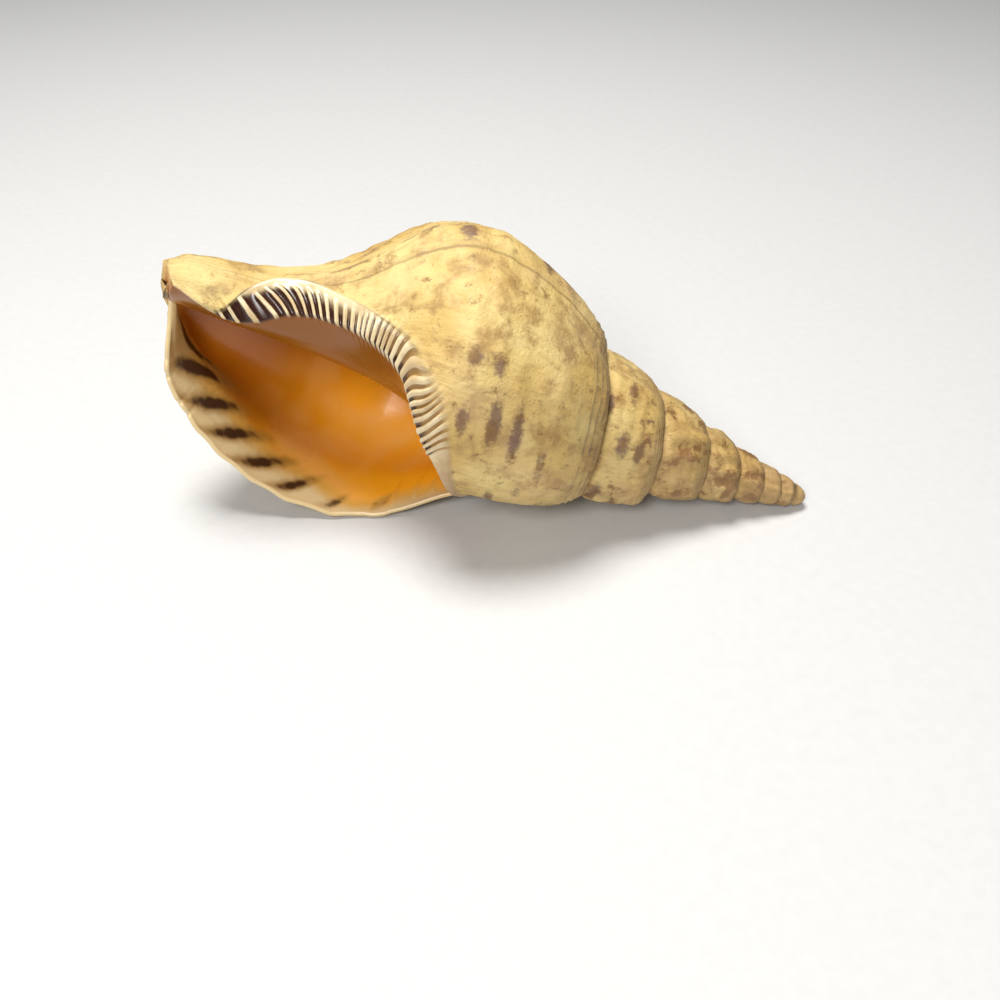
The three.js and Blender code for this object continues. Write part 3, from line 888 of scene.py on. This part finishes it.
    def relief(self):
        """Fine relief in millimetres: growth lines, pits and grain on the outside."""
        n = self.n
        lines = n.times(n.noise(self.growth, 0.35, 3), 0.32)
        grain = n.times(n.noise(self.spot, 0.9, 4, 0.65), 0.18)
        broad = n.times(n.noise(self.spot, 3.2, 3), 0.5)
        pits = n.times(n.between(n.cells(self.spot, 1.9), 0.0, 0.22), 0.12)
        outside = n.add(n.add(lines, grain), n.add(broad, pits))
        rough = n.between(self.glaze(), 0.9, 0.2, 0.06, 1.0)
        return n.times(outside, rough)

    def material(self):
        n = self.n
        n.put(n.shader.inputs["Base Color"], self.colour())
        n.put(n.shader.inputs["Roughness"], self.roughness())
        bump = n.node("Bump", {"Height": self.relief(), "Distance": MM, "Strength": 1.0})
        n.put(n.shader.inputs["Normal"], bump)
        return n.material


# Colours, as linear red, green and blue.
CREAM = (0.72, 0.545, 0.215)
STRAW = (0.60, 0.405, 0.125)
TAN = (0.34, 0.19, 0.06)
RUST = (0.21, 0.095, 0.024)
BLUSH = (0.70, 0.46, 0.28)
# Colour of the darker grooves and of the painted shade along the seam.
DARK_GROOVE_AND_SEAM_SHADE = (0.16, 0.12, 0.08)
PURPLE_BROWN = (0.16, 0.085, 0.06)
PIGMENT_BROWN = (0.17, 0.075, 0.022)
DARK_BROWN = (0.10, 0.050, 0.020)
IVORY = (0.78, 0.64, 0.40)
BEIGE = (0.58, 0.42, 0.22)
GOLD_BROWN = (0.33, 0.16, 0.03)
GOLD = (0.74, 0.40, 0.08)
NEAR_BLACK = (0.035, 0.010, 0.004)
ORANGE = (0.96, 0.40, 0.012)
BURNT = (0.40, 0.115, 0.005)
# This colour and the next: painted shade under the teeth, the deeper one towards the canal.
DEEPER_SHADE_UNDER_TEETH = (0.25, 0.08, 0.006)
PEACH = (0.95, 0.52, 0.16)
SHADE_UNDER_TEETH = (0.26, 0.085, 0.016)
LIP_CREAM = (0.76, 0.58, 0.30)


# ---- scene ----
def make_shell():
    shell = bpy.data.objects.new("shell_fine", shell_mesh())
    bpy.context.collection.objects.link(shell)
    shell.data.materials.append(ShellPaint().material())
    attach(shell, "root")
    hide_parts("shell")
    return shell


def make_floor():
    size = 2.4
    mesh = bpy.data.meshes.new("floor")
    corners = [(-size, -size, 0), (size, -size, 0), (size, size, 0), (-size, size, 0)]
    mesh.from_pydata(corners, [], [(0, 1, 2, 3)])
    floor = bpy.data.objects.new("floor", mesh)
    bpy.context.collection.objects.link(floor)
    n = Nodes("floor")
    grain = n.noise(n.node("TexCoord", output="Object"), 0.004, 3)
    n.put(n.shader.inputs["Base Color"], n.mix(grain, (0.60, 0.60, 0.60), (0.66, 0.66, 0.65)))
    n.put(n.shader.inputs["Roughness"], 0.8)
    mesh.materials.append(n.material)


def area_light(name, place, target, size, watts, colour):
    light = bpy.data.lights.new(name, "AREA")
    light.shape, light.size, light.energy, light.color = "DISK", size, watts, colour
    lamp = bpy.data.objects.new(name, light)
    lamp.location = place
    aim = Vector(target) - Vector(place)
    lamp.rotation_euler = aim.to_track_quat("-Z", "Y").to_euler()
    bpy.context.collection.objects.link(lamp)


def light_scene():
    world = bpy.data.worlds.new("studio")
    world.use_nodes = True
    background = world.node_tree.nodes["Background"]
    background.inputs["Color"].default_value = (0.86, 0.90, 1.0, 1)
    background.inputs["Strength"].default_value = 0.17
    bpy.context.scene.world = world
    target = (0, 0, 0.04)
    area_light("overhead", (-0.15, 0.12, 1.1), target, 0.45, 14, (1.0, 0.98, 0.94))
    area_light("front", (-0.25, -0.8, 0.75), target, 0.4, 7, (1.0, 0.99, 0.97))
    bpy.context.scene.view_settings.view_transform = "Standard"


def aim_camera():
    """The photograph's view: about 40 degrees above the floor."""
    data = bpy.data.cameras.new("camera")
    data.sensor_width, data.lens = 36, 36.04
    camera = bpy.data.objects.new("camera", data)
    camera.location = (0.0165, -0.2821, 0.2266)
    heading = Vector((-0.0445, 0.7676, -0.6394))
    camera.rotation_euler = heading.to_track_quat("-Z", "Y").to_euler()
    bpy.context.collection.objects.link(camera)
    bpy.context.scene.camera = camera


make_shell()
make_floor()
light_scene()
aim_camera()
